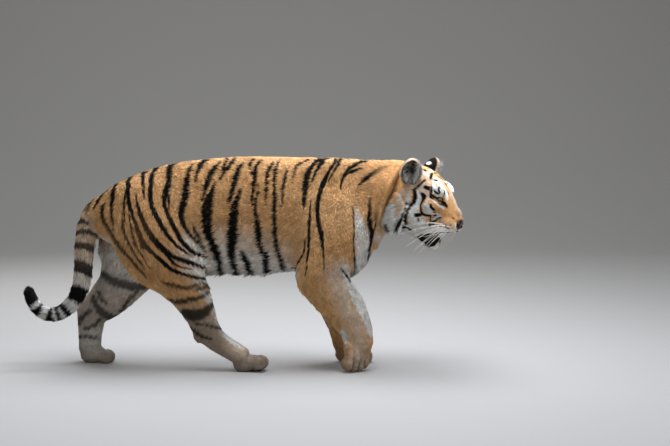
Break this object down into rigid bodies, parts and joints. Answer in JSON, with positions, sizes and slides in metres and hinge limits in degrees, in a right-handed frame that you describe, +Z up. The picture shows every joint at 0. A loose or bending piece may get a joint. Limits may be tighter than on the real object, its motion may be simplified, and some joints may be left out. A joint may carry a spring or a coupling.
{
  "type": "tiger",
  "caption": "Life-size adult tiger in mid-stride, head turned slightly to its right, mouth a little open, tail low with an upturned tip.",
  "frame": {"origin": "on the plane the paws stand on, under the middle of the bounding box", "axes": "+X towards the head, +Y towards the tiger's left side, +Z up"},
  "size_m": [1.9754, 0.4068, 0.9576],
  "materials": {
    "fur": "matte",
    "eye": "glossy"
  },
  "bodies": {
    "root": {"head": "fur", "lower_jaw": "fur", "ear_left": "fur", "ear_right": "fur", "eye_left": "eye", "eye_right": "eye", "neck": "fur", "chest": "fur", "belly": "fur", "hindquarters": "fur", "right_foreleg": "fur", "right_forepaw": "fur", "left_foreleg": "fur", "left_forepaw": "fur", "right_hind_leg": "fur", "right_hind_foot": "fur", "left_hind_leg": "fur", "left_hind_foot": "fur", "tail_base": "fur", "tail_middle": "fur", "tail_tip": "fur"}
  },
  "joints": []
}
